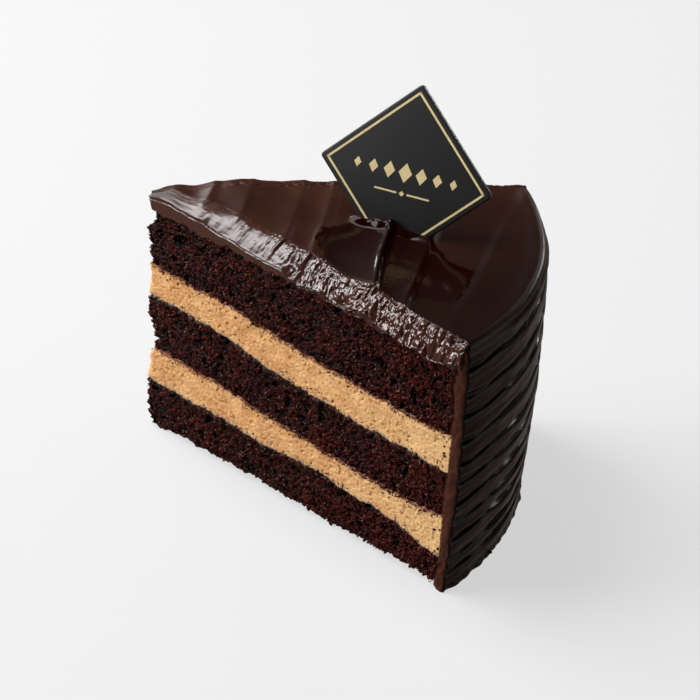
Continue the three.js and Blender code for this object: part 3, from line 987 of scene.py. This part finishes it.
def gold_print():
    """Pale gold lustre printed on the tile: mica in a clear binder, so it keeps its colour."""
    material, tree, shader, place = new_material("gold_print", {"Roughness": 0.4, "Metallic": 0.15})
    cloud = add_node(tree, "TexNoise", {"Scale": 1 / 2, "Detail": 2, "Roughness": 0.55}, place)
    face = add_node(tree, "Mix", {"data_type": "RGBA", FIRST: colour("dcc286"), SECOND: colour("f0dfae")},
                    {SHARE: (cloud, "Fac")})
    join_shader(tree, shader, {"Base Color": (face, BLEND)})
    return material


def pale_floor():
    """Matt white card, lit a little from within so that shadows on it stay pale."""
    settings = {"Roughness": 0.9, "Base Color": (0.16, 0.16, 0.16, 1), "Emission Color": colour("ffffff"),
                "Emission Strength": 0.61}
    return new_material("pale_floor", settings)[0]


# ---- Camera, floor and light ----

VIEW_TARGET = Vector((57.8, 0.9, 38.2))
VIEW_DISTANCE = 714
VIEW_ELEVATION = math.radians(29.9)
VIEW_AZIMUTH = math.radians(14.2)
VIEW_ROLL = math.radians(4.76)
LENS = 131.25


def aim(thing, spot, back, roll=0.0):
    """Sets a camera or light at a spot so that it looks along -back, turned by roll."""
    back = back.normalized()
    right = Vector((0, 0, 1)).cross(back).normalized()
    up = back.cross(right)
    turned = Matrix((right, up, back)).transposed().to_4x4() @ Matrix.Rotation(roll, 4, "Z")
    thing.matrix_world = Matrix.Translation(spot) @ turned


def toward_viewer():
    flat = math.cos(VIEW_ELEVATION)
    across, away = math.sin(VIEW_AZIMUTH), -math.cos(VIEW_AZIMUTH)
    return Vector((across * flat, away * flat, math.sin(VIEW_ELEVATION)))


def place_camera():
    camera = bpy.data.cameras.new("camera")
    camera.sensor_width = 36
    camera.lens = LENS
    camera.clip_start = 0.01
    rig = bpy.data.objects.new("camera", camera)
    bpy.context.scene.collection.objects.link(rig)
    back = toward_viewer()
    aim(rig, SET_DOWN @ (VIEW_TARGET + VIEW_DISTANCE * back), back, VIEW_ROLL)
    bpy.context.scene.camera = rig


LIGHT_TARGET = Vector((50, 0, 35))


def soft_light(name, direction, distance, size, watts):
    """A rectangular lamp that faces the slice. Its direction is seen from the slice, and its
    distance and size are in metres."""
    light = bpy.data.lights.new(name, "AREA")
    light.shape = "RECTANGLE"
    light.size, light.size_y = size
    light.energy = watts
    rig = bpy.data.objects.new(name, light)
    bpy.context.scene.collection.objects.link(rig)
    back = Vector(direction).normalized()
    aim(rig, SET_DOWN @ LIGHT_TARGET + distance * back, back)


# What the glossy coat mirrors: a dim room above, and the paler table below it.
ROOM_GLOW = (0.03, 0.03, 0.03, 1.0)
TABLE_GLOW = (0.23, 0.205, 0.175, 1.0)


def light_scene():
    soft_light("key_overhead_left", (-0.54, 0.16, 0.80), 1.1, (0.55, 0.75), 16)
    soft_light("left_front", (-0.80, -0.32, 0.46), 1.2, (0.5, 0.5), 13)
    soft_light("back_left", (-0.54, 0.79, 0.29), 1.3, (0.2, 0.2), 1.7)
    soft_light("crest_back", (0.12, 0.89, 0.44), 1.2, (0.32, 0.22), 0.6)
    soft_light("rim_back", (0.33, 0.92, 0.19), 1.2, (0.16, 0.12), 1.8)
    soft_light("right_low", (0.93, 0.30, 0.18), 1.3, (1.0, 1.0), 3.2)
    world = bpy.data.worlds.new("studio")
    world.use_nodes = True
    tree = world.node_tree
    way = add_node(tree, "TexCoord")
    parts = add_node(tree, "SeparateXYZ", (), {"Vector": (way, "Generated")})
    above = add_node(tree, "MapRange", {"From Min": -0.12, "From Max": 0.1}, {"Value": (parts, "Z")})
    room = add_node(tree, "Mix", {"data_type": "RGBA", FIRST: TABLE_GLOW, SECOND: ROOM_GLOW},
                    {SHARE: (above, "Result")})
    join_shader(tree, tree.nodes["Background"], {"Color": (room, BLEND)})
    bpy.context.scene.world = world
    bpy.context.scene.view_settings.view_transform = "Standard"


FLOOR_REACH = 3


def lay_floor():
    """The floor. The coat mirrors the world instead of it, which keeps the side dark."""
    bm = bmesh.new()
    bmesh.ops.create_grid(bm, x_segments=1, y_segments=1, size=FLOOR_REACH)
    mesh = bpy.data.meshes.new("floor")
    bm.to_mesh(mesh)
    bm.free()
    mesh.materials.append(pale_floor())
    floor = bpy.data.objects.new("floor", mesh)
    bpy.context.scene.collection.objects.link(floor)
    floor.visible_glossy = False


# ---- The slice ----

def build_slice():
    sponge, cream = chocolate_sponge(), coffee_cream()
    coat, dragged = ganache("ganache", 0.08), ganache("ganache_dragged", 0.45)
    for name, below in LAYERS.items():
        if name in CREAM_PROUD:
            cut_layer(name, below, CREAM_PROUD[name], cream_relief, cream)
        else:
            cut_layer(name, below, SPONGE_PROUD, sponge_relief, sponge)
    ganache_side(coat)
    ganache_top(coat)
    ganache_smear(NEAR, dragged)
    ganache_smear(FAR, coat)
    for name, count in CRUMBS.items():
        crumbs_on_sponge(name, LAYERS[name], count, sponge)
    crumbs_on_cream(sponge)
    crumbs_along_coat(sponge)
    flakes_at_foot(coat)
    plaque_body(satin_black())
    plaque_print(gold_print())


build_slice()
lay_floor()
place_camera()
light_scene()
